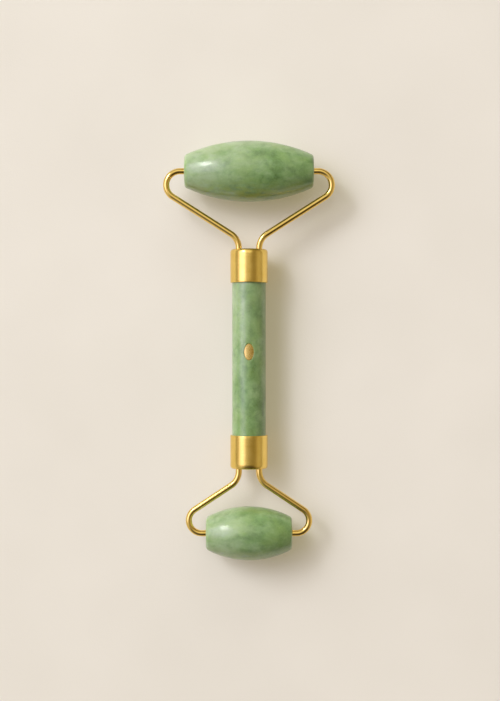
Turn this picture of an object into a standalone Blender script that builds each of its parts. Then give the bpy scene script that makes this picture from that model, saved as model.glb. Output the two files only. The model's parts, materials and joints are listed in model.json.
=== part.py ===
"""Two-ended stone face roller: a round handle with a large roller at one end and a small one at the other.

Frame: metres, +Z up. Y runs along the handle towards the large roller, X along both roller axles,
and the large roller's belly touches z = 0. The two axles and the handle's centre line share one
level plane. Each roller turns freely on the in-turned pins of its own pair of sprung wire arms.
"""

import math

import bmesh
import bpy
from mathutils import Matrix, Vector

MM = 0.001

# Rollers: barrels with a long crown arc, a rounded corner and a through bore
LARGE_AXLE_Y = 62.75 * MM
LARGE_LENGTH = 45.2 * MM
LARGE_BELLY_RADIUS = 10.65 * MM
LARGE_CROWN_RADIUS = 53.2 * MM
SMALL_AXLE_Y = -63.95 * MM
SMALL_LENGTH = 30.0 * MM
SMALL_BELLY_RADIUS = 9.4 * MM
SMALL_CROWN_RADIUS = 31.3 * MM
ROLLER_CORNER = 1.0 * MM
BORE_RADIUS = 2.4 * MM
BORE_CHAMFER = 0.25 * MM
AXLE_HEIGHT = LARGE_BELLY_RADIUS

# Wire arms: a pin along the axle, a tight outer bend, a straight arm, a tail bend and a straight tail
WIRE_RADIUS = 1.1 * MM
LARGE_BEND_RADIUS = 4.84 * MM
LARGE_ARM_ANGLE = math.radians(32.5)
SMALL_BEND_RADIUS = 4.5 * MM
SMALL_ARM_ANGLE = math.radians(33.5)
PIN_SHOWING = 1.56 * MM
PIN_INSIDE = 6.0 * MM
TAIL_OFFSET = 3.57 * MM
TAIL_BEND_RADIUS = 6.0 * MM
TIP_CHAMFER = 0.3 * MM
TIP_SHRINK = 0.72
NECK_SHRINK = 0.8
NECK_START = 1.3 * MM
NECK_LENGTH = 1.0 * MM
NECK_TAPER = 0.25 * MM

# Collars: drawn cups, alike at both ends, whose closed ends face the rollers
COLLAR_LENGTH = 11.7 * MM
COLLAR_RADIUS = 6.55 * MM
COLLAR_WALL = 0.4 * MM
COLLAR_END_WALL = 1.0 * MM
COLLAR_EDGE_ROUND = 0.8 * MM
COLLAR_RIM_BEVEL = 0.25 * MM
LARGE_COLLAR_END_Y = 35.4 * MM
SMALL_COLLAR_END_Y = -41.3 * MM
TAIL_DEPTH = 5.1 * MM

# Handle: a round stone rod held by both collars, with an oval inlay let into its top
HANDLE_RADIUS = 5.9 * MM
HANDLE_CHAMFER = 0.4 * MM
HANDLE_ENGAGEMENT = 5.5 * MM
INLAY_Y = -0.5 * MM
INLAY_HALF_WIDTH = 1.7 * MM
INLAY_HALF_LENGTH = 2.9 * MM
INLAY_THICKNESS = 0.6 * MM
INLAY_SIDE_GAP = 0.12 * MM
INLAY_UNDERSIDE = math.sqrt(HANDLE_RADIUS**2 - INLAY_HALF_WIDTH**2) - INLAY_THICKNESS
INLAY_BLANK_TOP = HANDLE_RADIUS + INLAY_THICKNESS

# Bearings: closed-end sleeves bonded into the roller bores; each pin turns in one
SLEEVE_OUTER_RADIUS = 2.1 * MM
SLEEVE_INNER_RADIUS = 1.25 * MM
SLEEVE_HOLE_DEPTH = 6.0 * MM
SLEEVE_BOTTOM = 1.0 * MM
SLEEVE_CHAMFER = 0.2 * MM
SLEEVE_RECESS = 0.3 * MM

JOINT_GAP = 0.3 * MM
ROUND_SIDES = 48
SLEEVE_SIDES = 24
CUTTER_SIDES = 24
CROWN_STEPS = 7
CORNER_STEPS = 3
EDGE_STEPS = 4
BEND_STEP = math.radians(13)
WELD_DISTANCE = 1e-7
SHARP_ANGLE = math.radians(32)

JADE = dict(colour=(0.27, 0.41, 0.19), roughness=0.16, metallic=0.0)
GOLD = dict(colour=(0.78, 0.50, 0.16), roughness=0.2, metallic=1.0)
NYLON = dict(colour=(0.82, 0.80, 0.72), roughness=0.5, metallic=0.0)
RESIN = dict(colour=(0.55, 0.42, 0.20), roughness=0.3, metallic=0.0)


def clear_scene():
    """Removes every object, so that the script starts from nothing."""
    for thing in list(bpy.data.objects):
        bpy.data.objects.remove(thing)


def steps(first, last, count):
    """Evenly spaced values from first to last, with both ends, in count steps."""
    return [first + (last - first) * i / count for i in range(count + 1)]


def material(name, look):
    """A Principled material of one colour, roughness and metallic value."""
    made = bpy.data.materials.new(name)
    made.use_nodes = True
    shader = made.node_tree.nodes["Principled BSDF"]
    shader.inputs["Base Color"].default_value = (*look["colour"], 1.0)
    shader.inputs["Roughness"].default_value = look["roughness"]
    shader.inputs["Metallic"].default_value = look["metallic"]
    return made


def empty(name, location):
    """A parent empty on a body's axis."""
    made = bpy.data.objects.new(name, None)
    made.location = location
    bpy.context.collection.objects.link(made)
    return made


def place(name, data, look, parent, location=(0, 0, 0), turn=0.0):
    """An object of its own material under a parent, turned about +Z. Its local X then points the turned way."""
    made = bpy.data.objects.new(name, data)
    made.parent = parent
    made.location = location
    made.rotation_euler = (0, 0, turn)
    bpy.context.collection.objects.link(made)
    if look:
        data.materials.clear()
        data.materials.append(material(name + "_finish", look))
    return made


def finish_mesh(name, work):
    """Closes a bmesh into a smooth-shaded mesh with its faces out and its real edges sharp."""
    bmesh.ops.recalc_face_normals(work, faces=work.faces)
    mesh = bpy.data.meshes.new(name)
    work.to_mesh(mesh)
    work.free()
    mesh.shade_smooth()
    mesh.set_sharp_from_angle(angle=SHARP_ANGLE)
    return mesh


def turned_mesh(name, outline, sides=ROUND_SIDES):
    """An outline of (x, radius) points turned about local X. An outline that starts off the axis is a ring."""
    work = bmesh.new()
    verts = [work.verts.new((x, radius, 0.0)) for x, radius in outline]
    pairs = list(zip(verts, verts[1:]))
    if outline[0][1] > 0:
        pairs.append((verts[-1], verts[0]))
    edges = [work.edges.new(pair) for pair in pairs]
    bmesh.ops.spin(work, geom=verts + edges, cent=(0, 0, 0), axis=(1, 0, 0),
                   angle=math.tau, steps=sides, use_merge=True)
    bmesh.ops.remove_doubles(work, verts=work.verts, dist=WELD_DISTANCE)
    return finish_mesh(name, work)


def arc(centre_x, centre_r, radius, first, last, count):
    """Points on a circle of an outline, by angle from the outward radial towards +x."""
    return [(centre_x + radius * math.sin(a), centre_r + radius * math.cos(a))
            for a in steps(first, last, count)]


def cutter(name, work, parent, location=(0, 0, 0), turn=0.0):
    """A wire-drawn helper object for a Boolean, which isn't a piece of the roller."""
    tool = place(name, finish_mesh(name, work), None, parent, location, turn)
    tool.hide_render = True
    tool.display_type = "WIRE"
    return tool


def add_boolean(target, tool, operation):
    """Adds an exact Boolean of one helper to a piece."""
    modifier = target.modifiers.new(tool.name, "BOOLEAN")
    modifier.operation = operation
    modifier.solver = "EXACT"
    modifier.object = tool


def barrel_outline(length, belly_radius, crown_radius):
    """Half a barrel from its belly to its bore mouth: the crown arc, the corner's round and the end face."""
    crown_centre = belly_radius - crown_radius
    corner_x = length / 2 - ROLLER_CORNER
    to_corner = crown_radius - ROLLER_CORNER
    corner_r = crown_centre + math.sqrt(to_corner**2 - corner_x**2)
    meet = math.asin(corner_x / to_corner)
    crown = arc(0, crown_centre, crown_radius, 0, meet, CROWN_STEPS)
    corner = arc(corner_x, corner_r, ROLLER_CORNER, meet, math.pi / 2, CORNER_STEPS)
    mouth = [(length / 2, BORE_RADIUS + BORE_CHAMFER), (length / 2 - BORE_CHAMFER, BORE_RADIUS)]
    return crown + corner[1:] + mouth


def roller(name, parent, length, belly_radius, crown_radius):
    """A bored stone barrel centred on its axle, which runs along X."""
    half = barrel_outline(length, belly_radius, crown_radius)
    mirrored = [(-x, radius) for x, radius in reversed(half)]
    place(name + "_stone", turned_mesh(name, mirrored[:-1] + half), JADE, parent)


def sleeves(name, parent, length):
    """The two closed-end sleeves of one roller, each with its mouth just inside an end face."""
    depth = SLEEVE_HOLE_DEPTH + SLEEVE_BOTTOM
    outline = [
        (-depth, 0),
        (-depth, SLEEVE_OUTER_RADIUS - SLEEVE_CHAMFER),
        (-depth + SLEEVE_CHAMFER, SLEEVE_OUTER_RADIUS),
        (0, SLEEVE_OUTER_RADIUS),
        (0, SLEEVE_INNER_RADIUS),
        (-SLEEVE_HOLE_DEPTH, SLEEVE_INNER_RADIUS),
        (-SLEEVE_HOLE_DEPTH, 0),
    ]
    mouth_x = length / 2 - SLEEVE_RECESS
    for side, turn, sign in (("right", 0, 1), ("left", math.pi, -1)):
        mesh = turned_mesh(f"{name}_{side}", outline, SLEEVE_SIDES)
        place(f"{name}_{side}_sleeve", mesh, NYLON, parent, (sign * mouth_x, 0, 0), turn)


def trace(start, heading, moves):
    """Points of a level line from start: each move is (length, 0) along it, or (radius, angle turned left)."""
    points = [Vector(start)]
    for size, turned in moves:
        if not turned:
            points.append(points[-1] + size * Vector((math.cos(heading), math.sin(heading))))
            continue
        side = math.copysign(size, turned)
        centre = points[-1] + side * Vector((-math.sin(heading), math.cos(heading)))
        for angle in steps(heading, heading + turned, math.ceil(abs(turned) / BEND_STEP))[1:]:
            points.append(centre + side * Vector((math.sin(angle), -math.cos(angle))))
        heading += turned
    return points


def arm_moves(length, bend_radius, arm_angle, axle_to_tip):
    """The straights and bends of one arm, from its pin's chamfer to its tail's chamfer."""
    pin_end = length / 2 + PIN_SHOWING
    bend_end = pin_end + bend_radius * math.sin(arm_angle)
    tail_bend_start = TAIL_OFFSET + TAIL_BEND_RADIUS * (1 - math.sin(arm_angle))
    arm = (bend_end - tail_bend_start) / math.cos(arm_angle)
    drop = bend_radius * (1 + math.cos(arm_angle)) + arm * math.sin(arm_angle)
    tail = axle_to_tip - drop - TAIL_BEND_RADIUS * math.cos(arm_angle)
    grip = NECK_TAPER + NECK_LENGTH + NECK_TAPER + NECK_START + TIP_CHAMFER
    return [
        (TIP_CHAMFER, 0),
        (PIN_INSIDE + PIN_SHOWING - TIP_CHAMFER, 0),
        (bend_radius, arm_angle - math.pi),
        (arm, 0),
        (TAIL_BEND_RADIUS, math.pi / 2 - arm_angle),
        (tail - grip, 0),
        (NECK_TAPER, 0),
        (NECK_LENGTH, 0),
        (NECK_TAPER, 0),
        (NECK_START, 0),
        (TIP_CHAMFER, 0),
    ]


def wire_arm(name, parent, points):
    """A round wire along the points: its ends are chamfered, and a neck near the tail's end keys it in."""
    shrink = {0: TIP_SHRINK, -1: TIP_SHRINK, -4: NECK_SHRINK, -5: NECK_SHRINK}
    line = bpy.data.curves.new(name, "CURVE")
    line.dimensions = "3D"
    line.bevel_depth = WIRE_RADIUS
    line.bevel_resolution = 4
    line.use_fill_caps = True
    spline = line.splines.new("POLY")
    spline.points.add(len(points) - 1)
    for point, (x, y) in zip(spline.points, points):
        point.co = (x, y, 0, 1)
    for index, factor in shrink.items():
        spline.points[index].radius = factor
    place(name, line, GOLD, parent)


def yoke(name, frame, axle_y, collar_end_y, length, bend_radius, arm_angle):
    """The left and right arms that hold one roller, from its bore to deep inside its collar."""
    outward = math.copysign(1, axle_y)
    axle_to_tip = abs(axle_y - collar_end_y) + TAIL_DEPTH
    moves = arm_moves(length, bend_radius, arm_angle, axle_to_tip)
    right = trace((length / 2 - PIN_INSIDE, 0), 0, moves)
    for side, sign in (("right", 1), ("left", -1)):
        points = [(sign * x, axle_y + outward * y) for x, y in right]
        wire_arm(f"{name}_{side}_arm", frame, points)


def wire_channels(name, frame, end_y, turn):
    """Helper of two rods, where the tails pass the closed end of a collar and the resin behind it."""
    work = bmesh.new()
    depth = TAIL_DEPTH + JOINT_GAP
    over = COLLAR_END_WALL
    lie_along_x = Matrix.Rotation(math.pi / 2, 4, "Y")
    for offset in (TAIL_OFFSET, -TAIL_OFFSET):
        middle = Matrix.Translation(((over - depth) / 2, offset, 0))
        bmesh.ops.create_cone(work, cap_ends=True, segments=CUTTER_SIDES, depth=over + depth,
                              radius1=WIRE_RADIUS + JOINT_GAP, radius2=WIRE_RADIUS + JOINT_GAP,
                              matrix=middle @ lie_along_x)
    return cutter(name + "_channels", work, frame, (0, end_y, 0), turn)


def collar(name, frame, end_y, turn, channels):
    """A drawn cup with its closed end at local x = 0 and its open rim behind, holed for the two tails."""
    inner = COLLAR_RADIUS - COLLAR_WALL
    rim = -COLLAR_LENGTH
    edge = arc(-COLLAR_EDGE_ROUND, COLLAR_RADIUS - COLLAR_EDGE_ROUND, COLLAR_EDGE_ROUND,
               0, math.pi / 2, EDGE_STEPS)
    outline = [
        (-COLLAR_END_WALL, 0),
        (-COLLAR_END_WALL, inner),
        (rim, inner),
        (rim, COLLAR_RADIUS - COLLAR_RIM_BEVEL),
        (rim + COLLAR_RIM_BEVEL, COLLAR_RADIUS),
        *edge,
        (0, 0),
    ]
    cup = place(name, turned_mesh(name, outline), GOLD, frame, (0, end_y, 0), turn)
    add_boolean(cup, channels, "DIFFERENCE")


def collar_resin(name, frame, end_y, turn, channels):
    """The set resin between a collar's closed end and the handle's end, which grips both tails."""
    radius = COLLAR_RADIUS - COLLAR_WALL - JOINT_GAP
    front = -COLLAR_END_WALL - JOINT_GAP
    back = HANDLE_ENGAGEMENT + JOINT_GAP - COLLAR_LENGTH
    outline = [(back, 0), (back, radius), (front, radius), (front, 0)]
    fill = place(name, turned_mesh(name, outline), RESIN, frame, (0, end_y, 0), turn)
    add_boolean(fill, channels, "DIFFERENCE")


def oval_bar(half_width, half_length, low, high):
    """An upright oval bar between two heights, as a bmesh."""
    work = bmesh.new()
    bmesh.ops.create_cone(work, cap_ends=True, segments=ROUND_SIDES, radius1=1, radius2=1, depth=1)
    bmesh.ops.scale(work, vec=(half_width, half_length, high - low), verts=work.verts)
    bmesh.ops.translate(work, vec=(0, 0, (low + high) / 2), verts=work.verts)
    return work


def handle_stone(frame):
    """The round stone rod between the collars, with a pocket for the inlay in its top."""
    low = SMALL_COLLAR_END_Y + COLLAR_LENGTH - HANDLE_ENGAGEMENT
    high = LARGE_COLLAR_END_Y - COLLAR_LENGTH + HANDLE_ENGAGEMENT
    outline = [
        (low, 0),
        (low, HANDLE_RADIUS - HANDLE_CHAMFER),
        (low + HANDLE_CHAMFER, HANDLE_RADIUS),
        (high - HANDLE_CHAMFER, HANDLE_RADIUS),
        (high, HANDLE_RADIUS - HANDLE_CHAMFER),
        (high, 0),
    ]
    stone = place("handle_stone", turned_mesh("handle_stone", outline), JADE, frame, turn=math.pi / 2)
    pocket = oval_bar(INLAY_HALF_WIDTH + INLAY_SIDE_GAP, INLAY_HALF_LENGTH + INLAY_SIDE_GAP,
                      INLAY_UNDERSIDE - JOINT_GAP, INLAY_BLANK_TOP)
    add_boolean(stone, cutter("inlay_pocket", pocket, frame, (0, INLAY_Y, 0)), "DIFFERENCE")


def handle_inlay(frame):
    """The oval inlay, whose top follows the round of the handle."""
    blank = oval_bar(INLAY_HALF_WIDTH, INLAY_HALF_LENGTH, INLAY_UNDERSIDE, INLAY_BLANK_TOP)
    inlay = place("handle_inlay", finish_mesh("handle_inlay", blank), GOLD, frame, (0, INLAY_Y, 0))
    crown = bmesh.new()
    bmesh.ops.create_cone(crown, cap_ends=True, segments=2 * ROUND_SIDES, depth=4 * INLAY_HALF_LENGTH,
                          radius1=HANDLE_RADIUS, radius2=HANDLE_RADIUS,
                          matrix=Matrix.Rotation(math.pi / 2, 4, "X"))
    add_boolean(inlay, cutter("inlay_crown", crown, frame, (0, INLAY_Y, 0)), "INTERSECT")


def collar_end(name, frame, end_y, turn):
    """One collar with the resin inside it, both holed for the tails by one helper."""
    channels = wire_channels(name, frame, end_y, turn)
    collar(name, frame, end_y, turn, channels)
    collar_resin(name + "_resin", frame, end_y, turn, channels)


def build():
    """Makes the fixed frame and the two free rollers."""
    clear_scene()
    frame = empty("frame_axis", (0, 0, AXLE_HEIGHT))
    large_axle = empty("large_roller_axle", (0, LARGE_AXLE_Y, AXLE_HEIGHT))
    small_axle = empty("small_roller_axle", (0, SMALL_AXLE_Y, AXLE_HEIGHT))

    handle_stone(frame)
    handle_inlay(frame)
    collar_end("large_collar", frame, LARGE_COLLAR_END_Y, math.pi / 2)
    collar_end("small_collar", frame, SMALL_COLLAR_END_Y, -math.pi / 2)
    yoke("large_yoke", frame, LARGE_AXLE_Y, LARGE_COLLAR_END_Y,
         LARGE_LENGTH, LARGE_BEND_RADIUS, LARGE_ARM_ANGLE)
    yoke("small_yoke", frame, SMALL_AXLE_Y, SMALL_COLLAR_END_Y,
         SMALL_LENGTH, SMALL_BEND_RADIUS, SMALL_ARM_ANGLE)
    roller("large_roller", large_axle, LARGE_LENGTH, LARGE_BELLY_RADIUS, LARGE_CROWN_RADIUS)
    roller("small_roller", small_axle, SMALL_LENGTH, SMALL_BELLY_RADIUS, SMALL_CROWN_RADIUS)
    sleeves("large_roller", large_axle, LARGE_LENGTH)
    sleeves("small_roller", small_axle, SMALL_LENGTH)


build()
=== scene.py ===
"""Looks of the two-ended stone face roller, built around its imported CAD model."""

import json
import math

import bmesh
import bpy
from mathutils import Matrix, Vector, noise


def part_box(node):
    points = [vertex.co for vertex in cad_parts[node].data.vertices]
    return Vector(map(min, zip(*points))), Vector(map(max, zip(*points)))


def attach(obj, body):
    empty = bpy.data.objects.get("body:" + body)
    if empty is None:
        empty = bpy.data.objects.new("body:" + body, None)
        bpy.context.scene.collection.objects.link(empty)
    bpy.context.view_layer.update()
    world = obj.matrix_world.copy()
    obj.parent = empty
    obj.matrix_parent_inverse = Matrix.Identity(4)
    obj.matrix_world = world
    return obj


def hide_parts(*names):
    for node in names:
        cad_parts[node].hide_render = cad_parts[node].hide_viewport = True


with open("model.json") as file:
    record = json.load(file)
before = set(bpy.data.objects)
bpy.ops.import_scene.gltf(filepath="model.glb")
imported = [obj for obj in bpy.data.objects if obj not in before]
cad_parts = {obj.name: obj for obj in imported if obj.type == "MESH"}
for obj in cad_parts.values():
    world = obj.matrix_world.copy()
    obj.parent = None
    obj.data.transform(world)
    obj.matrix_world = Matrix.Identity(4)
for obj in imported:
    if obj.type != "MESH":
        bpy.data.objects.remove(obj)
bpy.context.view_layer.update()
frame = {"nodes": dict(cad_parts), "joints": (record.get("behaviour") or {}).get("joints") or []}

MM = 0.001

# Where things are, from the frame
AXLES = {joint["child"]: Vector(joint["pos_m"]) for joint in frame["joints"]}
AXLE_HEIGHT = AXLES["large_roller"].z
HANDLE_CENTRE = Vector((0, 0, AXLE_HEIGHT))
WIRE_RADIUS = (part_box("large_yoke_right_arm")[1].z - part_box("large_yoke_right_arm")[0].z) / 2

# Rollers
CROWN_RADIUS = {"large": 53.2 * MM, "small": 31.3 * MM}
ROLLER_CORNER = 1.5 * MM
BORE_RADIUS = 2.4 * MM
BORE_CHAMFER = 0.25 * MM
CROWN_STEPS = 40
CORNER_STEPS = 10
CHAMFER_STEPS = 5
ROLLER_SIDES = 144

# The rollers' end faces have one more ring of points, at this share of the way from bore to corner
FACE_RING = 0.6

# Handle
HANDLE_CHAMFER = 0.4 * MM
HANDLE_STEPS = 90
HANDLE_SIDES = 128

# Slow unevenness of the polished stones: depth, size and seed
ROLLER_POLISH = (0.03 * MM, 6 * MM, 3.0)
HANDLE_POLISH = (0.025 * MM, 8 * MM, 9.0)

# Wire arms
BEND_RADIUS = {"large": 4.84 * MM, "small": 4.5 * MM}
ARM_ANGLE = {"large": math.radians(32.5), "small": math.radians(33.5)}
PIN_LENGTH = 7.56 * MM
TAIL_OFFSET = 3.57 * MM
TAIL_BEND_RADIUS = 6.0 * MM
TIP_ROUND = 0.3 * MM
TIP_MIDDLE = 0.3 * TIP_ROUND
TIP_RADIUS = 0.72 * WIRE_RADIUS
TIP_MIDDLE_RADIUS = 0.88 * WIRE_RADIUS
WIRE_SIDES = 28
BEND_STEP = math.radians(3)

# Collars
COLLAR_WALL = 0.4 * MM
COLLAR_END_WALL = 1.0 * MM
SHOULDER_TILT = math.radians(22)
SHOULDER_LENGTH = 0.35 * MM
SHOULDER_DROP = SHOULDER_LENGTH * math.tan(SHOULDER_TILT)
COLLAR_EDGE_ROUND = 0.9 * MM
RIM_ROUND = 0.19 * MM
WALL_STEPS = 12
EDGE_STEPS = 10
RIM_STEPS = 6
COLLAR_SIDES = 160

# Wire holes in the collars: their cutters reach out of the end wall and through it
HOLE_GAP = 0.07 * MM
HOLE_FLARE = 0.16 * MM
HOLE_OUTSIDE = 1.0 * MM
HOLE_INSIDE = 2.5 * MM
FLARE_STEPS = 6
HOLE_SIDES = 64

# Inlay and its pocket
INLAY_SIDES = 96
INLAY_BEVEL = 0.12 * MM
INLAY_RINGS = (0.8, 0.5, 0.25)
POCKET_GAP = 0.06 * MM
POCKET_BELOW = 0.1 * MM
POCKET_ABOVE = 1 * MM
POCKET_BEVEL = 0.01 * MM

# Floor
FLOOR_RADIUS = 6.0
FLOOR_RINGS = 40
FLOOR_SIDES = 128

# Camera: straight above the tool, with a view of this height at the axles' level
VIEW_HEIGHT = 245.35 * MM
CAMERA_DISTANCE = 550 * MM
CAMERA_SHIFT_X = 0.35 * MM
SENSOR = 36.0

# Lights: direction from the tool, distance, width and height in metres, power in watts, and colour
WINDOW = ((-0.58, 0.44, 0.66), 2.6, (1.7, 1.5), 37.0, (1.0, 1.0, 0.96))
GLINT = ((-0.54, 0.48, 0.70), 2.0, (0.32, 0.60), 8.5, (1.0, 0.98, 0.96))
BACK = ((0.0, 0.93, 0.38), 2.6, (2.2, 1.0), 13.0, (1.0, 0.98, 0.94))

# The room's walls from left to right, and the directions of what shows on them
WALLS = [
    (0.00, (0.68, 0.62, 0.49)),
    (0.30, (0.72, 0.70, 0.66)),
    (0.40, (0.62, 0.58, 0.50)),
    (0.50, (0.50, 0.45, 0.34)),
    (0.62, (0.36, 0.30, 0.18)),
    (0.72, (0.29, 0.235, 0.125)),
    (0.81, (0.29, 0.235, 0.125)),
    (0.89, (0.47, 0.40, 0.26)),
    (1.00, (0.72, 0.64, 0.47)),
]
RIGHT = (1, 0, 0)
UPWARD = (0, 0, 1)
DARK_PATCH = (0.0, -0.70, 0.71)
PANE = (-0.67, 0.20, 0.71)
LAMP = (0.05, 0.40, 0.91)
PANE_COLOUR = (1.50, 1.24, 2.10)

# Stone: its clouds from dark to pale, and the colours laid over them
CLOUDS = [
    (0.32, (0.108, 0.215, 0.058)),
    (0.46, (0.168, 0.302, 0.100)),
    (0.56, (0.222, 0.362, 0.148)),
    (0.70, (0.300, 0.435, 0.210)),
]
FLECK_COLOUR = (0.075, 0.160, 0.045)
WARM_COLOUR = (0.245, 0.375, 0.100)
# Painted light: the pale tone laid on the side of each stone that light reaches most
MILK_AND_PAINTED_LIGHT_COLOUR = (0.480, 0.565, 0.385)
# Yellow-green of the vein lines: partly the stone's own colour, partly a painted glow of light coming
# through the lower rim
VEIN_AND_GLOW_COLOUR = (0.275, 0.375, 0.060)
GRAIN_COLOUR = (0.430, 0.570, 0.340)
VEIN_PULL = 4

# Each stone's pattern: its shift in millimetres and its stretch, then the side painted paler because
# light reaches it most (painted light), and the lower side where vein lines are laid, partly the stone's
# own and partly a painted glow of light coming through, each as a direction with the distances from the
# stone's centre where it starts and where it is full
FOOTWARD = (0.0, -1.0, 0.0)
LARGE_JADE = ((0, 0, 0), (1.3, 1, 1),
              ((-0.80, 0.60, 0.0), -5 * MM, 8 * MM), (FOOTWARD, 3 * MM, 8 * MM))
SMALL_JADE = ((-38, 22, 30), (1.3, 1, 1),
              ((-0.85, -0.25, 0.20), -3 * MM, 9 * MM), (FOOTWARD, 4 * MM, 10 * MM))
HANDLE_JADE = ((15, 30, 45), (1, 1.3, 1),
               ((-0.90, 0.20, 0.40), 0, 12 * MM), (FOOTWARD, 25 * MM, 60 * MM))

# Each gold: the stretch and fineness of its marks, its roughness from low to high, the depth of its marks
# and its shades: two that drift into each other and one for the marks
INLAY_GOLD = ((1, 1, 1), 6.0, (0.18, 0.34), 0.006 * MM,
              ((0.86, 0.60, 0.19), (0.93, 0.68, 0.24), (0.96, 0.76, 0.36)))
WIRE_GOLD = ((1, 1, 1), 6.0, (0.06, 0.12), 0.001 * MM,
             ((0.90, 0.61, 0.16), (0.96, 0.68, 0.20), (0.97, 0.76, 0.29)))
COLLAR_GOLD = ((12, 1, 12), 2.2, (0.14, 0.34), 0.012 * MM,
               ((0.87, 0.59, 0.125), (0.95, 0.67, 0.175), (0.99, 0.80, 0.32)))

# Sockets of Blender's colour mix node
MIX_AMOUNT, MIX_BELOW, MIX_ABOVE, MIX_RESULT = 0, 6, 7, 2


def steps(first, last, count):
    """Evenly spaced values from first to last, with both ends, in count steps."""
    return [first + (last - first) * i / count for i in range(count + 1)]


def new_object(name, mesh, material=None):
    """Links a mesh as an object. A cutting tool has no material."""
    made = bpy.data.objects.new(name, mesh)
    bpy.context.scene.collection.objects.link(made)
    if material:
        mesh.materials.append(material)
    return made


def stand_in(piece, body, node):
    """Lets a piece, which already carries its material, ride on a body in place of one CAD node, and
    hides that node.
    """
    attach(piece, body)
    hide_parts(node)


def mesh_from(name, points, faces, sharp=35):
    """A smooth-shaded mesh whose edges over the sharp angle, in degrees, stay crisp."""
    mesh = bpy.data.meshes.new(name)
    mesh.from_pydata([tuple(p) for p in points], [], faces)
    work = bmesh.new()
    work.from_mesh(mesh)
    bmesh.ops.recalc_face_normals(work, faces=work.faces)
    work.to_mesh(mesh)
    work.free()
    mesh.shade_smooth()
    mesh.set_sharp_from_angle(angle=math.radians(sharp))
    return mesh


def arc(centre_along, centre_r, radius, first, last, count):
    """Points on a circle of an outline, by angle from straight outward towards the far end."""
    return [(centre_along + radius * math.sin(a), centre_r + radius * math.cos(a))
            for a in steps(first, last, count)]


def lathe(name, outline, axis, centre, sides, dent=None):
    """An outline of (along, radius) points turned about the X or Y axis through a centre.

    Where dent is given, each point of the surface lies dent(point) further in.
    """
    along = Vector((1, 0, 0)) if axis == "X" else Vector((0, 1, 0))
    side = Vector((0, 1, 0)) if axis == "X" else Vector((1, 0, 0))
    up = Vector((0, 0, 1))
    points, rings = [], []
    for place, radius in outline:
        if radius <= 0:
            rings.append([len(points)] * sides)
            points.append(centre + place * along)
            continue
        rings.append(list(range(len(points), len(points) + sides)))
        for i in range(sides):
            out = math.cos(math.tau * i / sides) * up + math.sin(math.tau * i / sides) * side
            point = centre + place * along + radius * out
            points.append(point - dent(point) * out if dent else point)
    pairs = list(zip(rings, rings[1:]))
    if outline[0][1] > 0:
        pairs.append((rings[-1], rings[0]))
    faces = []
    for a, b in pairs:
        for i in range(sides):
            j = (i + 1) % sides
            corners = [a[i], a[j], b[j], b[i]]
            faces.append([c for k, c in enumerate(corners) if c != corners[k - 1]])
    return mesh_from(name, points, faces)


def tube(name, path, radii, sides):
    """A round tube along a level path, with a radius at each point and closed ends."""
    up = Vector((0, 0, 1))
    points, faces = [], []
    for i, here in enumerate(path):
        ahead = path[min(i + 1, len(path) - 1)] - path[max(i - 1, 0)]
        across = ahead.cross(up).normalized()
        for k in range(sides):
            a = math.tau * k / sides
            points.append(here + radii[i] * (math.cos(a) * across + math.sin(a) * up))
    for i in range(len(path) - 1):
        for k in range(sides):
            j = (k + 1) % sides
            faces.append([i * sides + k, i * sides + j, (i + 1) * sides + j, (i + 1) * sides + k])
    faces.append(list(range(sides)))
    faces.append(list(range((len(path) - 1) * sides, len(path) * sides)))
    return mesh_from(name, points, faces, sharp=50)


# ---------------------------------------------------------------- materials


def shader_of(name):
    """A new node material, its tree and its Principled shader."""
    made = bpy.data.materials.new(name)
    made.use_nodes = True
    return made, made.node_tree, made.node_tree.nodes["Principled BSDF"]


def add(tree, kind, inputs=None, **settings):
    """Adds a node with its settings. An input given a socket is linked, and any other value is set."""
    made = tree.nodes.new(kind)
    for key, value in settings.items():
        setattr(made, key, value)
    for key, value in (inputs or {}).items():
        if isinstance(value, bpy.types.NodeSocket):
            tree.links.new(value, made.inputs[key])
        else:
            made.inputs[key].default_value = value
    return made


def millimetres(tree, shift=(0, 0, 0), stretch=(1, 1, 1)):
    """The point's place on the object in millimetres, shifted, and stretched to draw a pattern out."""
    spot = add(tree, "ShaderNodeTexCoord").outputs["Object"]
    scale = tuple(1000 / s for s in stretch)
    return add(tree, "ShaderNodeMapping", {"Vector": spot, "Location": shift, "Scale": scale}).outputs[0]


def toward(tree, way, aim, low, high):
    """Rises from 0 to 1 as the dot product of a way and an aim goes from low to high."""
    near = add(tree, "ShaderNodeVectorMath", {0: way, 1: aim}, operation="DOT_PRODUCT").outputs["Value"]
    inputs = {"Value": near, "From Min": low, "From Max": high}
    return add(tree, "ShaderNodeMapRange", inputs).outputs[0]


def zone(tree, centre, side, start, end):
    """Rises from 0 to 1 between two distances from a piece's centre towards one side, in metres."""
    spot = add(tree, "ShaderNodeTexCoord").outputs["Object"]
    reach = add(tree, "ShaderNodeVectorMath", {0: spot, 1: centre}, operation="SUBTRACT")
    return toward(tree, reach.outputs[0], side, start, end)


def fog(tree, where, scale, detail=3.0, roughness=0.55):
    """Noise from 0 to 1, with features of about 1 / scale millimetres."""
    inputs = {"Vector": where, "Scale": scale, "Detail": detail, "Roughness": roughness}
    return add(tree, "ShaderNodeTexNoise", inputs).outputs["Fac"]


def ramp(tree, value, stops):
    """A colour for each value from 0 to 1, from stops that hold a colour or a level of grey."""
    made = add(tree, "ShaderNodeValToRGB", {"Fac": value})
    bar = made.color_ramp
    while len(bar.elements) < len(stops):
        bar.elements.new(1.0)
    for element, (place, colour) in zip(bar.elements, stops):
        element.position = place
        element.color = (*colour, 1.0) if isinstance(colour, tuple) else (colour, colour, colour, 1.0)
    return made.outputs["Color"]


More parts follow.
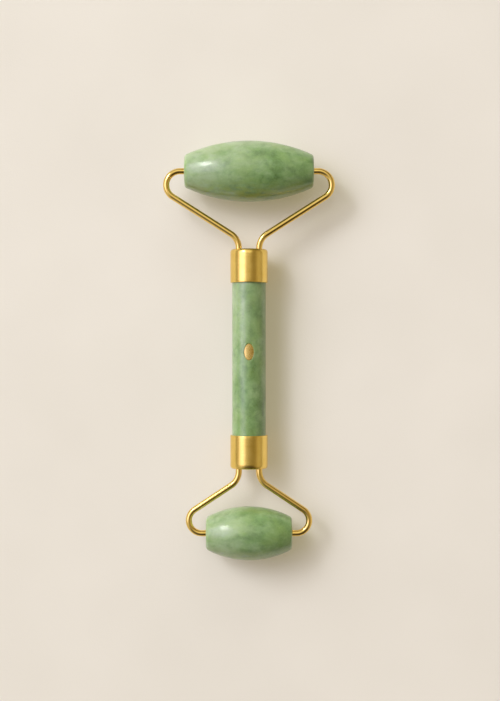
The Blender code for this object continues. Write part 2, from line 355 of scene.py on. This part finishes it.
def mix(tree, amount, below, above, mode="MIX"):
    """Mixes two colours by an amount from 0 to 1. Each may be a socket or a value."""
    made = add(tree, "ShaderNodeMix", data_type="RGBA", blend_type=mode)
    for index, value in ((MIX_AMOUNT, amount), (MIX_BELOW, below), (MIX_ABOVE, above)):
        if isinstance(value, bpy.types.NodeSocket):
            tree.links.new(value, made.inputs[index])
        elif index == MIX_AMOUNT:
            made.inputs[index].default_value = value
        else:
            made.inputs[index].default_value = (*value, 1.0)
    return made.outputs[MIX_RESULT]


def span(tree, value, low, high):
    """Maps a value from 0 to 1 onto low to high."""
    return add(tree, "ShaderNodeMapRange", {"Value": value, "To Min": low, "To Max": high}).outputs[0]


def bump(tree, height, distance):
    """A normal from a height of 0 to 1, whose full depth is distance."""
    return add(tree, "ShaderNodeBump", {"Height": height, "Distance": distance}).outputs["Normal"]


def jade(name, centre, shift, grain_way, pale_tone, painted_glow_side):
    """Polished translucent green stone: a paler side painted where light reaches it most (painted light),
    and yellow-green vein lines along one side that are partly the stone's own and partly a painted glow
    of light coming through.
    """
    made, tree, shader = shader_of(name)
    plain = millimetres(tree, shift)
    long = millimetres(tree, shift, grain_way)
    warp = add(tree, "ShaderNodeTexNoise", {"Vector": plain, "Scale": 0.15, "Detail": 2.0})
    inputs = {0: warp.outputs["Color"], 1: (0.5, 0.5, 0.5)}
    pull = add(tree, "ShaderNodeVectorMath", inputs, operation="SUBTRACT")
    drift = add(tree, "ShaderNodeVectorMath", {0: pull.outputs[0], "Scale": 2.5}, operation="SCALE")
    where = add(tree, "ShaderNodeVectorMath", {0: long, 1: drift.outputs[0]}, operation="ADD").outputs[0]

    clouds = ramp(tree, fog(tree, where, 0.18, 4.0, 0.6), CLOUDS)
    flecks = ramp(tree, fog(tree, where, 0.50, 2.0, 0.5), [(0.47, 0.0), (0.70, 1.0)])
    body = mix(tree, span(tree, flecks, 0.0, 0.50), clouds, FLECK_COLOUR)
    warm = ramp(tree, fog(tree, where, 0.12, 3.0, 0.6), [(0.48, 0.0), (0.64, 1.0)])
    body = mix(tree, span(tree, warm, 0.0, 0.42), body, WARM_COLOUR)
    # Painted light: a patchy paler tone on the side the light reaches most
    milk_and_painted_light = ramp(tree, fog(tree, where, 0.22, 3.0, 0.6), [(0.30, 0.2), (0.60, 1.0)])
    milk_and_painted_light = mix(tree, 1.0, milk_and_painted_light, zone(tree, centre, *pale_tone), "MULTIPLY")
    body = mix(tree, span(tree, milk_and_painted_light, 0.0, 0.48), body, MILK_AND_PAINTED_LIGHT_COLOUR)
    # Vein lines laid along the lower rim: partly the stone's own, partly a painted glow of light coming
    # through
    drawn_out = millimetres(tree, shift, tuple(1 + VEIN_PULL * (g - 1) for g in grain_way))
    lines = ramp(tree, fog(tree, drawn_out, 0.55, 3.0), [(0.36, 0.0), (0.56, 1.0)])
    veins_and_painted_glow = mix(tree, 1.0, lines, zone(tree, centre, *painted_glow_side), "MULTIPLY")
    body = mix(tree, span(tree, veins_and_painted_glow, 0.0, 0.70), body, VEIN_AND_GLOW_COLOUR)
    grain = ramp(tree, fog(tree, plain, 1.8, 4.0, 0.7), [(0.35, 0.0), (0.65, 1.0)])
    body = mix(tree, span(tree, grain, 0.0, 0.16), body, GRAIN_COLOUR)
    tree.links.new(body, shader.inputs["Base Color"])

    tree.links.new(span(tree, fog(tree, plain, 0.5, 3.0), 0.27, 0.36), shader.inputs["Roughness"])
    skin = mix(tree, 0.25, fog(tree, plain, 0.35, 2.0), fog(tree, plain, 3.0, 2.0))
    tree.links.new(bump(tree, skin, 0.02 * MM), shader.inputs["Normal"])
    shader.inputs["Subsurface Weight"].default_value = 0.8
    shader.inputs["Subsurface Radius"].default_value = (0.80, 1.0, 0.45)
    shader.inputs["Subsurface Scale"].default_value = 2.8 * MM
    shader.inputs["IOR"].default_value = 1.6
    shader.inputs["Coat Weight"].default_value = 0.4
    shader.inputs["Coat Roughness"].default_value = 0.08
    return made


def gold(name, stretch, fineness, roughness, depth, shades):
    """Gold plating with fine marks, drawn out by a stretch, and a little drift in colour and wear."""
    made, tree, shader = shader_of(name)
    marks = fog(tree, millimetres(tree, (3, 5, 7), stretch), fineness, 4.0, 0.65)
    stains = fog(tree, millimetres(tree), 0.35, 3.0, 0.6)
    body = ramp(tree, stains, [(0.30, shades[0]), (0.70, shades[1])])
    body = mix(tree, span(tree, marks, 0.0, 0.30), body, shades[2])
    tree.links.new(body, shader.inputs["Base Color"])
    rough = mix(tree, 0.35, marks, stains)
    tree.links.new(span(tree, rough, *roughness), shader.inputs["Roughness"])
    tree.links.new(bump(tree, marks, depth), shader.inputs["Normal"])
    shader.inputs["Metallic"].default_value = 1.0
    return made


def nylon(name):
    """Milky moulded plastic with a fine skin."""
    made, tree, shader = shader_of(name)
    plain = millimetres(tree)
    body = ramp(tree, fog(tree, plain, 0.8, 3.0), [(0.3, (0.66, 0.63, 0.54)), (0.7, (0.76, 0.74, 0.66))])
    tree.links.new(body, shader.inputs["Base Color"])
    tree.links.new(span(tree, fog(tree, plain, 3.0), 0.38, 0.55), shader.inputs["Roughness"])
    tree.links.new(bump(tree, fog(tree, plain, 5.0), 0.01 * MM), shader.inputs["Normal"])
    shader.inputs["Subsurface Weight"].default_value = 0.2
    shader.inputs["Subsurface Scale"].default_value = 0.8 * MM
    return made


def resin(name):
    """Amber resin, cast and set, with cloudy streaks."""
    made, tree, shader = shader_of(name)
    plain = millimetres(tree)
    body = ramp(tree, fog(tree, plain, 0.45, 4.0), [(0.3, (0.34, 0.21, 0.07)), (0.7, (0.55, 0.39, 0.17))])
    tree.links.new(body, shader.inputs["Base Color"])
    tree.links.new(span(tree, fog(tree, plain, 1.5), 0.15, 0.35), shader.inputs["Roughness"])
    tree.links.new(bump(tree, fog(tree, plain, 1.2), 0.03 * MM), shader.inputs["Normal"])
    return made


def floor_with_painted_glow(name):
    """Plain pale floor, matt and a little uneven in tone, with a faint warm glow painted in that lifts
    and warms the shadows on it.
    """
    made, tree, shader = shader_of(name)
    plain = millimetres(tree)
    body = ramp(tree, fog(tree, plain, 0.02, 2.0), [(0.3, (0.54, 0.54, 0.52)), (0.7, (0.57, 0.57, 0.55))])
    tree.links.new(body, shader.inputs["Base Color"])
    tree.links.new(bump(tree, fog(tree, plain, 2.0, 2.0), 0.04 * MM), shader.inputs["Normal"])
    shader.inputs["Roughness"].default_value = 0.85
    shader.inputs["Specular IOR Level"].default_value = 0.25
    # Painted light: the floor glows faintly warm, which lifts and warms the shade on it
    shader.inputs["Emission Color"].default_value = (1.0, 0.82, 0.48, 1.0)
    shader.inputs["Emission Strength"].default_value = 0.20
    return made


# ------------------------------------------------------------------- stones


def hand_polish(depth, size, seed):
    """A function of a point that says how far in a hand-polished surface lies there."""
    def dent(point):
        return depth * (0.5 + 0.5 * noise.noise(Vector(point) / size + Vector((seed, 0, 0))))
    return dent


def barrel_outline(length, belly_radius, crown_radius):
    """Half a barrel from its belly to its bore: crown arc, rounded corner, end face and bore mouth."""
    crown_centre = belly_radius - crown_radius
    corner_x = length / 2 - ROLLER_CORNER
    to_corner = crown_radius - ROLLER_CORNER
    corner_r = crown_centre + math.sqrt(to_corner**2 - corner_x**2)
    meet = math.asin(corner_x / to_corner)
    crown = arc(0, crown_centre, crown_radius, 0, meet, CROWN_STEPS)
    corner = arc(corner_x, corner_r, ROLLER_CORNER, meet, math.pi / 2, CORNER_STEPS)
    face = [(length / 2, corner_r * FACE_RING + BORE_RADIUS * (1 - FACE_RING))]
    mouth = arc(length / 2 - BORE_CHAMFER, BORE_RADIUS + BORE_CHAMFER, BORE_CHAMFER,
                math.pi / 2, math.pi, CHAMFER_STEPS)
    return crown + corner[1:] + face + mouth


def roller_stone(end, material):
    """One bored stone barrel on its axle."""
    node = f"{end}_roller_stone"
    low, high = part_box(node)
    half = barrel_outline(high.x - low.x, AXLES[f"{end}_roller"].z - low.z, CROWN_RADIUS[end])
    outline = [(-x, r) for x, r in reversed(half)][:-1] + half
    name = f"{end}_roller_barrel"
    mesh = lathe(name, outline, "X", AXLES[f"{end}_roller"], ROLLER_SIDES, hand_polish(*ROLLER_POLISH))
    stand_in(new_object(name, mesh, material), f"{end}_roller", node)


def handle_rod(material, pocket):
    """The stone rod between the collars, with the inlay's pocket cut in its top."""
    low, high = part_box("handle_stone")
    radius = (high.x - low.x) / 2
    first, last = low.y + HANDLE_CHAMFER, high.y - HANDLE_CHAMFER
    chamfer = arc(0, radius - HANDLE_CHAMFER, HANDLE_CHAMFER, 0, math.pi / 2, CHAMFER_STEPS)
    bottom = [(first - a, r) for a, r in reversed(chamfer)][:-1]
    body = [(y, radius) for y in steps(first, last, HANDLE_STEPS)]
    top = [(last + a, r) for a, r in chamfer][1:]
    outline = [(low.y, 0)] + bottom + body + top + [(high.y, 0)]
    mesh = lathe("handle_rod", outline, "Y", HANDLE_CENTRE, HANDLE_SIDES, hand_polish(*HANDLE_POLISH))
    rod = new_object("handle_rod", mesh, material)
    cut_with(rod, pocket)
    stand_in(rod, "frame", "handle_stone")


def cut_with(target, tool):
    """Cuts a tool's shape out of a piece, and removes the tool."""
    modifier = target.modifiers.new("cut", "BOOLEAN")
    modifier.operation = "DIFFERENCE"
    modifier.solver = "EXACT"
    modifier.object = tool
    graph = bpy.context.evaluated_depsgraph_get()
    cut = bpy.data.meshes.new_from_object(target.evaluated_get(graph), depsgraph=graph)
    target.modifiers.clear()
    target.data = cut
    bpy.data.objects.remove(tool)


# -------------------------------------------------------------------- metal


def arm_path(end):
    """A right arm's centre line from pin tip to tail tip, as (x, distance from the axle)."""
    low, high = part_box(f"{end}_yoke_right_arm")
    axle = AXLES[f"{end}_roller"].y
    reach = abs(axle - (low.y if axle > 0 else high.y))
    angle, bend = ARM_ANGLE[end], BEND_RADIUS[end]
    outer_x = high.x - WIRE_RADIUS
    pin_end = outer_x - bend
    tip = pin_end - PIN_LENGTH
    tail_bend_x = TAIL_OFFSET + TAIL_BEND_RADIUS
    arm_start = Vector((pin_end + bend * math.sin(angle), bend * (1 + math.cos(angle))))
    arm_end_x = tail_bend_x - TAIL_BEND_RADIUS * math.sin(angle)
    arm_length = (arm_start.x - arm_end_x) / math.cos(angle)
    arm_end = Vector((arm_end_x, arm_start.y + arm_length * math.sin(angle)))
    tail_centre = Vector((tail_bend_x, arm_end.y + TAIL_BEND_RADIUS * math.cos(angle)))

    path = [Vector((x, 0)) for x in (tip, tip + TIP_MIDDLE, tip + TIP_ROUND)]
    turned = math.pi - angle
    for a in steps(0, turned, math.ceil(turned / BEND_STEP)):
        path.append(Vector((pin_end + bend * math.sin(a), bend * (1 - math.cos(a)))))
    turned = math.pi / 2 - angle
    for a in steps(angle, math.pi / 2, math.ceil(turned / BEND_STEP)):
        path.append(tail_centre - TAIL_BEND_RADIUS * Vector((math.sin(a), math.cos(a))))
    path += [Vector((TAIL_OFFSET, reach - back)) for back in (TIP_ROUND, TIP_MIDDLE, 0)]
    return path


def wire_arm(end, side, material):
    """One bent wire, left or right, of one yoke."""
    axle = AXLES[f"{end}_roller"]
    inward = -math.copysign(1, axle.y)
    sign = 1 if side == "right" else -1
    path = [Vector((sign * p.x, axle.y + inward * p.y, AXLE_HEIGHT)) for p in arm_path(end)]
    radii = [WIRE_RADIUS] * len(path)
    radii[0] = radii[-1] = TIP_RADIUS
    radii[1] = radii[-2] = TIP_MIDDLE_RADIUS
    name = f"{end}_{side}_wire"
    wire = new_object(name, tube(name, path, radii, WIRE_SIDES), material)
    stand_in(wire, "frame", f"{end}_yoke_{side}_arm")


def hole_cutter(end_y, outward):
    """Two flared rods, where the wires go through a collar's closed end."""
    radius = WIRE_RADIUS + HOLE_GAP
    flare = [(HOLE_FLARE * (1 - math.cos(a)), radius + HOLE_FLARE * (1 - math.sin(a)))
             for a in steps(0, math.pi / 2, FLARE_STEPS)]
    outer = [(-HOLE_OUTSIDE, 0), (-HOLE_OUTSIDE, radius + HOLE_FLARE)]
    outline = outer + flare + [(HOLE_INSIDE, radius), (HOLE_INSIDE, 0)]
    work = bmesh.new()
    for x in (TAIL_OFFSET, -TAIL_OFFSET):
        placed = [(end_y - outward * a, r) for a, r in outline]
        mesh = lathe("hole", placed, "Y", Vector((x, 0, AXLE_HEIGHT)), HOLE_SIDES)
        work.from_mesh(mesh)
        bpy.data.meshes.remove(mesh)
    mesh = bpy.data.meshes.new("holes")
    bmesh.ops.recalc_face_normals(work, faces=work.faces)
    work.to_mesh(mesh)
    work.free()
    return new_object("holes", mesh)


def collar_cup(end, material):
    """One drawn collar: a closed end with a shoulder and two flared holes, and a finely rounded rim."""
    node = f"{end}_collar"
    low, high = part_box(node)
    outward = math.copysign(1, low.y)
    end_y, rim_y = (high.y, low.y) if outward > 0 else (low.y, high.y)
    radius = (high.x - low.x) / 2
    inner = radius - COLLAR_WALL
    length = abs(end_y - rim_y)
    edge_r = radius - SHOULDER_DROP - COLLAR_EDGE_ROUND * math.cos(SHOULDER_TILT)
    edge = arc(length - COLLAR_EDGE_ROUND, edge_r, COLLAR_EDGE_ROUND,
               SHOULDER_TILT, math.pi / 2, EDGE_STEPS)
    shoulder = edge[0][0] - SHOULDER_LENGTH
    lip = arc(RIM_ROUND, radius - RIM_ROUND, RIM_ROUND, -math.pi / 2, 0, RIM_STEPS)
    back = arc(RIM_ROUND, inner + RIM_ROUND, RIM_ROUND, math.pi, math.pi * 1.5, RIM_STEPS)
    wall = [(a, radius) for a in steps(RIM_ROUND, shoulder, WALL_STEPS)][1:]
    deep = length - COLLAR_END_WALL
    outline = [(deep, 0), (deep, inner)] + back + lip + wall + edge + [(length, 0)]
    placed = [(rim_y + outward * a, r) for a, r in outline]
    mesh = lathe(f"{end}_cup", placed, "Y", HANDLE_CENTRE, COLLAR_SIDES)
    cup = new_object(f"{end}_cup", mesh, material)
    cut_with(cup, hole_cutter(end_y, outward))
    stand_in(cup, "frame", node)


def oval_prism(name, half_x, half_y, centre_y, low, top_height, bevel):
    """An upright oval plate. top_height(x) is its top's height, and its upper edge is bevelled."""
    rings = [(1.0, None), (1.0, bevel), (1.0 - bevel / half_x, 0.0)]
    rings += [(part, 0.0) for part in INLAY_RINGS]
    points, faces = [], []
    for factor, drop in rings:
        for i in range(INLAY_SIDES):
            a = math.tau * i / INLAY_SIDES
            x = half_x * factor * math.cos(a)
            y = centre_y + half_y * factor * math.sin(a)
            points.append((x, y, low if drop is None else top_height(x) - drop))
    for ring in range(len(rings) - 1):
        for i in range(INLAY_SIDES):
            j = (i + 1) % INLAY_SIDES
            a, b = ring * INLAY_SIDES, (ring + 1) * INLAY_SIDES
            faces.append([a + i, a + j, b + j, b + i])
    points.append((0, centre_y, top_height(0)))
    last = (len(rings) - 1) * INLAY_SIDES
    for i in range(INLAY_SIDES):
        faces.append([last + i, last + (i + 1) % INLAY_SIDES, len(points) - 1])
    faces.append(list(range(INLAY_SIDES)))
    return mesh_from(name, points, faces, sharp=28)


def inlay_and_pocket(material):
    """Lets a gold oval into the handle, and returns the tool that cuts its pocket."""
    low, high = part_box("handle_inlay")
    half_x, half_y = (high.x - low.x) / 2, (high.y - low.y) / 2
    centre_y = (high.y + low.y) / 2
    radius = high.z - AXLE_HEIGHT

    def crowned(x):
        return AXLE_HEIGHT + math.sqrt(radius**2 - x**2)

    def level(x):
        return high.z + POCKET_ABOVE

    mesh = oval_prism("inlay_oval", half_x, half_y, centre_y, low.z, crowned, INLAY_BEVEL)
    stand_in(new_object("inlay_oval", mesh, material), "frame", "handle_inlay")
    pocket = oval_prism("pocket", half_x + POCKET_GAP, half_y + POCKET_GAP, centre_y,
                        low.z - POCKET_BELOW, level, POCKET_BEVEL)
    return new_object("pocket", pocket)


# -------------------------------------------------------------------- scene


def floor(material):
    """A wide floor that both rollers touch. It leans a little, because their radii differ a little."""
    large, small = AXLES["large_roller"], AXLES["small_roller"]
    large_r = large.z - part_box("large_roller_stone")[0].z
    small_r = small.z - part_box("small_roller_stone")[0].z
    lean = math.asin((large_r - small_r) / (large.y - small.y))
    bottom = large + large_r * Vector((0, -math.sin(lean), -math.cos(lean)))
    points, faces = [bottom], []
    for ring in range(1, FLOOR_RINGS + 1):
        radius = FLOOR_RADIUS * (ring / FLOOR_RINGS) ** 2
        for a in steps(0, math.tau, FLOOR_SIDES)[:-1]:
            ahead = radius * math.sin(a)
            spot = Vector((radius * math.cos(a), ahead * math.cos(lean), -ahead * math.sin(lean)))
            points.append(bottom + spot)
    for i in range(FLOOR_SIDES):
        j = (i + 1) % FLOOR_SIDES
        faces.append([0, 1 + i, 1 + j])
        for ring in range(FLOOR_RINGS - 1):
            a, b = 1 + ring * FLOOR_SIDES, 1 + (ring + 1) * FLOOR_SIDES
            faces.append([a + i, b + i, b + j, a + j])
    new_object("floor", mesh_from("floor", points, faces), material)


def area_light(name, towards, distance, size, energy, colour):
    """A soft box in a direction from the tool, facing it, with its width turned towards the X axis."""
    aim = Vector(towards).normalized()
    across = (Vector((1, 0, 0)) - aim.x * aim).normalized()
    data = bpy.data.lights.new(name, "AREA")
    data.shape = "RECTANGLE"
    data.size, data.size_y = size
    data.energy = energy
    data.color = colour
    lamp = bpy.data.objects.new(name, data)
    lamp.location = aim * distance
    lamp.rotation_mode = "QUATERNION"
    lamp.rotation_quaternion = Matrix((across, aim.cross(across), aim)).transposed().to_quaternion()
    bpy.context.scene.collection.objects.link(lamp)
    return lamp


def world_light():
    """A soft room: pale on the left, brown towards the right, and dark beyond the small roller.

    A bright pane on the left and a faint lamp overhead are there for the metal to reflect.
    """
    world = bpy.data.worlds.new("room")
    world.use_nodes = True
    tree = world.node_tree
    way = add(tree, "ShaderNodeTexCoord").outputs["Generated"]
    walls = ramp(tree, toward(tree, way, RIGHT, -1.0, 1.0), WALLS)
    skirt = ramp(tree, toward(tree, way, UPWARD, 0.05, 0.50), [(0.0, 0.50), (1.0, 1.0)])
    room = mix(tree, 1.0, walls, skirt, "MULTIPLY")
    foot = ramp(tree, toward(tree, way, DARK_PATCH, 0.72, 0.88), [(0.0, 1.0), (1.0, 0.18)])
    room = mix(tree, 1.0, room, foot, "MULTIPLY")
    pane = ramp(tree, toward(tree, way, PANE, 0.89, 0.97), [(0.0, 0.0), (1.0, PANE_COLOUR)])
    room = mix(tree, 1.0, room, pane, "ADD")
    lamp = ramp(tree, toward(tree, way, LAMP, 0.93, 0.975), [(0.0, 0.0), (1.0, 0.5)])
    room = mix(tree, 1.0, room, lamp, "ADD")
    tree.links.new(room, tree.nodes["Background"].inputs["Color"])
    bpy.context.scene.world = world


def camera():
    """The camera straight above the tool. The picture's longer side takes the whole sensor."""
    data = bpy.data.cameras.new("camera")
    data.sensor_width = SENSOR
    data.lens = SENSOR * CAMERA_DISTANCE / VIEW_HEIGHT
    made = bpy.data.objects.new("camera", data)
    made.location = (CAMERA_SHIFT_X, 0, AXLE_HEIGHT + CAMERA_DISTANCE)
    bpy.context.scene.collection.objects.link(made)
    bpy.context.scene.camera = made


def build():
    """Every piece, its material and the studio."""
    roller_stone("large", jade("jade_large", AXLES["large_roller"], *LARGE_JADE))
    roller_stone("small", jade("jade_small", AXLES["small_roller"], *SMALL_JADE))
    pocket = inlay_and_pocket(gold("gold_inlay", *INLAY_GOLD))
    handle_rod(jade("jade_handle", HANDLE_CENTRE, *HANDLE_JADE), pocket)
    wire = gold("gold_wire", *WIRE_GOLD)
    for end in ("large", "small"):
        for side in ("left", "right"):
            wire_arm(end, side, wire)
    turned = gold("gold_collar", *COLLAR_GOLD)
    for end in ("large", "small"):
        collar_cup(end, turned)
    pale_tone, amber = nylon("nylon_sleeve"), resin("set_resin")
    for name, node in frame["nodes"].items():
        if name.endswith(("_sleeve", "_resin")):
            node.data.materials.clear()
            node.data.materials.append(pale_tone if name.endswith("_sleeve") else amber)

    floor(floor_with_painted_glow("floor"))
    world_light()
    # One small highlight on each roller: the two wide lights stay out of reflections
    area_light("window", *WINDOW).visible_glossy = False
    area_light("glint", *GLINT)
    area_light("back", *BACK).visible_glossy = False
    camera()
    bpy.context.scene.view_settings.view_transform = "Standard"


build()
